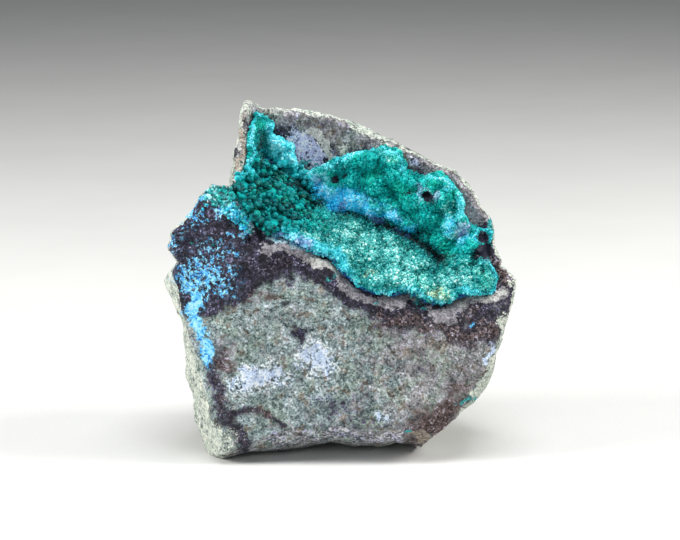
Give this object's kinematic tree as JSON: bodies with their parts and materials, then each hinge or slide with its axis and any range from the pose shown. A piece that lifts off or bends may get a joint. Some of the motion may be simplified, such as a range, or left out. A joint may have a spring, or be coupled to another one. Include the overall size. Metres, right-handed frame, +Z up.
{
  "type": "chrysocolla mineral specimen",
  "caption": "Broken piece of granular grey-green rock with a crystal-lined hollow in its upper half, covered by a teal druse, resting on its worn underside.",
  "frame": {"origin": "on the surface that the piece rests on, under the middle of its box", "axes": "+Z up from the resting face, -Y out of the broken front face towards the viewer, +X to the viewer's right"},
  "size_m": [0.0496, 0.035, 0.0479],
  "materials": {
    "rock": "matte",
    "druse": "satin"
  },
  "bodies": {
    "root": {"host_rock": "rock", "druse_crust": "druse"}
  },
  "joints": []
}
